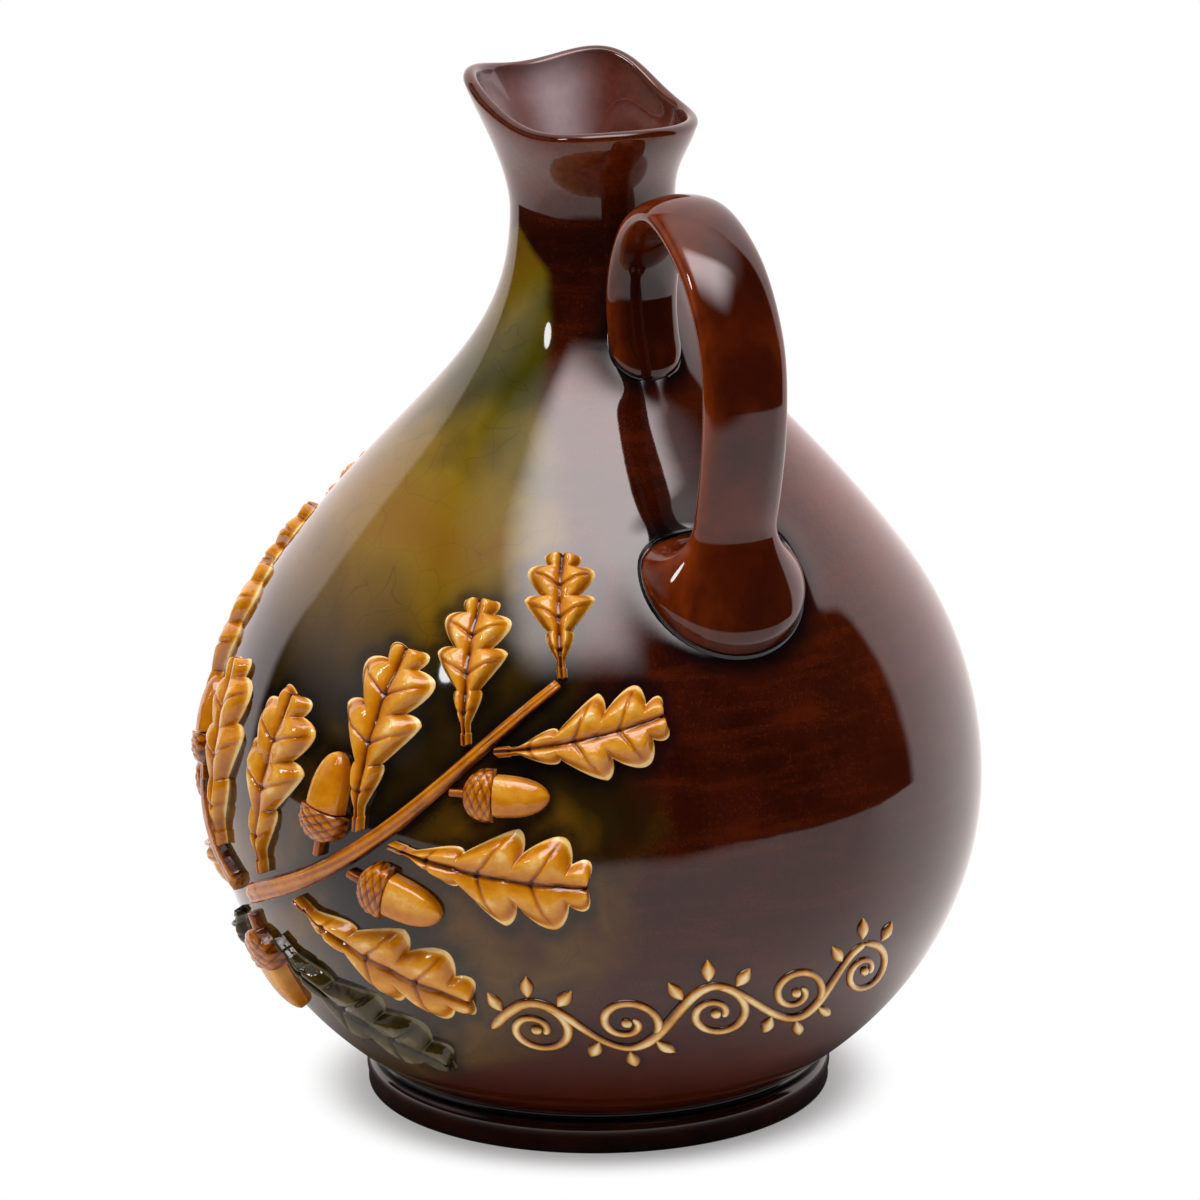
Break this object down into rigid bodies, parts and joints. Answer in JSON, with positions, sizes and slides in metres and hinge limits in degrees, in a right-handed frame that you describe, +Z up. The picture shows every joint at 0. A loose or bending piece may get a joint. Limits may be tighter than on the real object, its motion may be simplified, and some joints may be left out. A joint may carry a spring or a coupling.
{
  "type": "handled stoneware flask",
  "caption": "Round-bellied glazed stoneware flask with a narrow neck, pinched pouring lip, arched strap handle, low foot ring and an oak spray in relief.",
  "frame": {"origin": "middle of the foot ring's resting face, on the axis of belly and neck", "axes": "+Z up along the neck, +X towards the handle, -Y towards the middle of the relief spray"},
  "size_m": [0.141, 0.1432, 0.1901],
  "materials": {
    "treacle_glaze": "high gloss treacle-brown lead glaze over stoneware",
    "golden_glaze": "high gloss clear glaze over golden-orange slip",
    "umber_glaze": "high gloss glaze over dark olive-umber slip"
  },
  "bodies": {
    "root": {"flask_body": "treacle_glaze", "foot_ring": "treacle_glaze", "handle": "treacle_glaze", "fallen_leaf_1": "umber_glaze", "fallen_leaf_2": "umber_glaze", "left_branch": "golden_glaze", "left_branch_acorn_1_cup": "golden_glaze", "left_branch_acorn_1_nut": "golden_glaze", "left_branch_acorn_2_cup": "golden_glaze", "left_branch_acorn_2_nut": "golden_glaze", "left_branch_acorn_3_cup": "golden_glaze", "left_branch_acorn_3_nut": "golden_glaze", "left_branch_leaf_1": "golden_glaze", "left_branch_leaf_2": "golden_glaze", "left_branch_leaf_3": "golden_glaze", "left_branch_leaf_4": "golden_glaze", "left_branch_leaf_5": "golden_glaze", "left_branch_leaf_6": "golden_glaze", "left_branch_leaf_7": "golden_glaze", "middle_acorn_cup": "golden_glaze", "middle_acorn_nut": "golden_glaze", "right_branch": "golden_glaze", "right_branch_acorn_1_cup": "golden_glaze", "right_branch_acorn_1_nut": "golden_glaze", "right_branch_acorn_2_cup": "golden_glaze", "right_branch_acorn_2_nut": "golden_glaze", "right_branch_acorn_3_cup": "golden_glaze", "right_branch_acorn_3_nut": "golden_glaze", "right_branch_leaf_1": "golden_glaze", "right_branch_leaf_2": "golden_glaze", "right_branch_leaf_3": "golden_glaze", "right_branch_leaf_4": "golden_glaze", "right_branch_leaf_5": "golden_glaze", "right_branch_leaf_6": "golden_glaze", "right_branch_leaf_7": "golden_glaze"}
  },
  "joints": []
}
